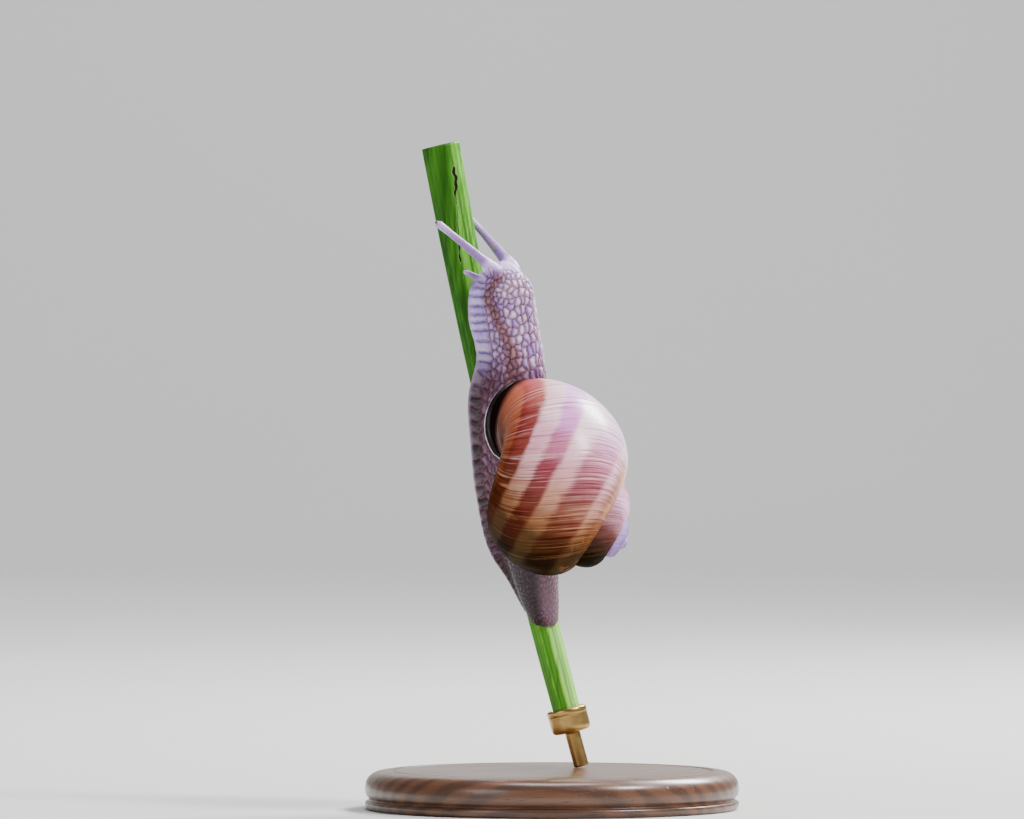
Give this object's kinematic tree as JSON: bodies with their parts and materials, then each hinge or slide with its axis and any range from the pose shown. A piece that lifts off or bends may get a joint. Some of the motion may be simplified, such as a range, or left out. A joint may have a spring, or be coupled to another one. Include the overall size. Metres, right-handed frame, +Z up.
{
  "type": "garden snail model on a stem perch",
  "caption": "Life-size still model of a garden snail climbing a cut plant stem, held upright by a rod on a round display base.",
  "frame": {"origin": "middle of the base's flat underside", "axes": "+Z up along the height of the display, -Y the front that the snail's left side faces, +X to the viewer's right"},
  "size_m": [0.076, 0.076, 0.1359],
  "materials": {
    "shell": "satin shell, cream to pink with reddish-brown spiral bands and fine growth lines",
    "shell_lip": "satin, whitish lip edge",
    "skin": "moist lilac-grey skin with pale tubercles and plum-brown grooves",
    "eye": "dark glossy bead",
    "stem": "fresh green ribbed plant stem",
    "stand_metal": "brushed, satin",
    "stand_wood": "dark turned wood, satin varnish"
  },
  "bodies": {
    "root": {"shell_body_whorl_front": "shell", "shell_body_whorl_back": "shell", "shell_penultimate_whorl": "shell", "shell_spire": "shell", "shell_apex": "shell", "shell_lip": "shell_lip", "mantle_collar": "skin", "head": "skin", "neck": "skin", "foot_front": "skin", "foot_middle": "skin", "foot_rear": "skin", "tail": "skin", "upper_tentacle_left": "skin", "upper_tentacle_right": "skin", "lower_tentacle_left": "skin", "lower_tentacle_right": "skin", "eye_left": "eye", "eye_right": "eye", "perch_stem": "stem", "stand_cup": "stand_metal", "stand_rod": "stand_metal", "stand_base": "stand_wood"}
  },
  "joints": []
}
